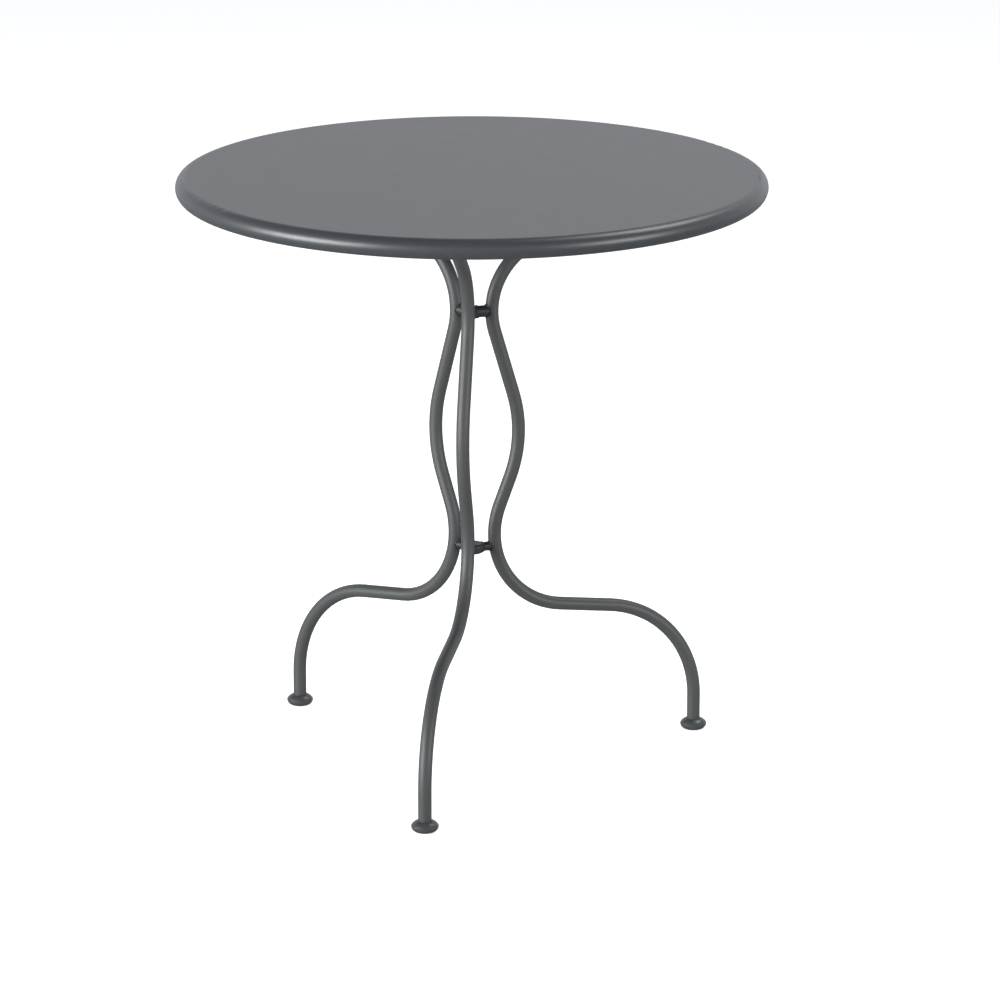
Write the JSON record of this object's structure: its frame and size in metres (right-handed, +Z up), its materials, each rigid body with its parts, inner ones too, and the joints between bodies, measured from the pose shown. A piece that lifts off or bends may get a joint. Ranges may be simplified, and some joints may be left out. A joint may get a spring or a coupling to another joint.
{
  "type": "bistro table",
  "caption": "Round sheet-steel bistro table top with a rolled edge on waisted bent-tube legs, for seating guests at a cafe.",
  "frame": {"origin": "on the floor under the centre of the round top", "axes": "+Z up along the table's axis, -Y towards the front leg, the other two legs at 30 and 150 degrees from +X"},
  "size_m": [0.7, 0.7, 0.72],
  "materials": {
    "coated_top": "satin",
    "coated_tube": "satin",
    "coated_joint": "satin",
    "zinc_steel": "satin",
    "bare_hoop": "matte",
    "moulded_plastic": "satin"
  },
  "bodies": {
    "root": {"centre_plate": "coated_top", "front_brace": "coated_top", "front_end_plug": "moulded_plastic", "front_glide": "moulded_plastic", "front_leg": "coated_tube", "front_lower_rod": "coated_joint", "front_mount_tab": "coated_tube", "front_upper_rod": "coated_joint", "left_brace": "coated_top", "left_end_plug": "moulded_plastic", "left_glide": "moulded_plastic", "left_leg": "coated_tube", "left_lower_rod": "coated_joint", "left_mount_tab": "coated_tube", "left_upper_rod": "coated_joint", "lower_hub": "coated_joint", "right_brace": "coated_top", "right_end_plug": "moulded_plastic", "right_glide": "moulded_plastic", "right_leg": "coated_tube", "right_lower_rod": "coated_joint", "right_mount_tab": "coated_tube", "right_upper_rod": "coated_joint", "rim_hoop": "bare_hoop", "tab_screws": "zinc_steel", "tab_washers": "zinc_steel", "tabletop_sheet": "coated_top", "upper_hub": "coated_joint", "weld_nuts": "zinc_steel"}
  },
  "joints": []
}
